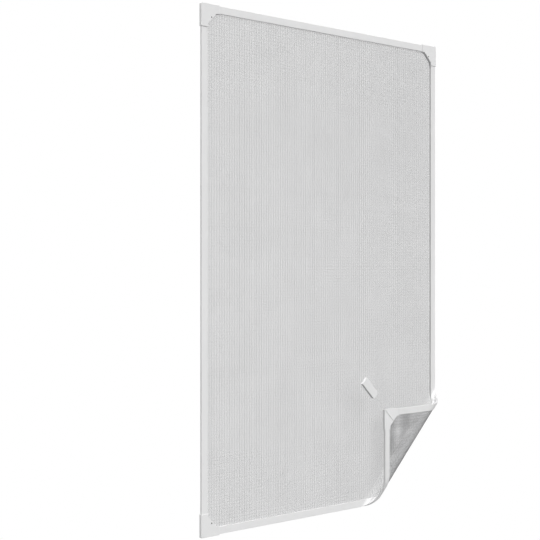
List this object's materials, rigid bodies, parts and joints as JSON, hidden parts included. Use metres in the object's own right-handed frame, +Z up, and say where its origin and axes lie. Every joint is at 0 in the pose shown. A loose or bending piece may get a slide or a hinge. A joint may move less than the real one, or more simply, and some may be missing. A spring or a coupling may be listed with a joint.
{
  "type": "window insect screen",
  "caption": "Magnetic window insect screen: fine net in slim white edge strips with moulded corners, one corner peeled forward by its pull cord.",
  "frame": {"origin": "middle of the top strip's magnetic back face, where it meets the window frame", "axes": "+X to the right seen from the front, +Z up along the screen's long side, +Y out of the back towards the window frame; the front faces -Y"},
  "size_m": [0.8034, 0.0577, 1.2035],
  "materials": {
    "net": "fine grey coated net",
    "profile": "satin white flexible plastic",
    "magnet_band": "matte white coated magnetic rubber",
    "corner": "satin white moulded plastic",
    "cord": "twisted white cord",
    "tab": "smooth white moulded plastic"
  },
  "bodies": {
    "root": {"net": "net", "net_fold": "net", "strip_top": "profile", "strip_bottom": "profile", "strip_left": "profile", "strip_right": "profile", "band_top": "magnet_band", "band_bottom": "magnet_band", "band_left": "magnet_band", "band_right": "magnet_band", "corner_top_left": "corner", "corner_top_right": "corner", "corner_bottom_left": "corner", "corner_pull": "corner", "pull_cord": "cord", "cord_knot": "cord", "pull_tab": "tab"}
  },
  "joints": []
}
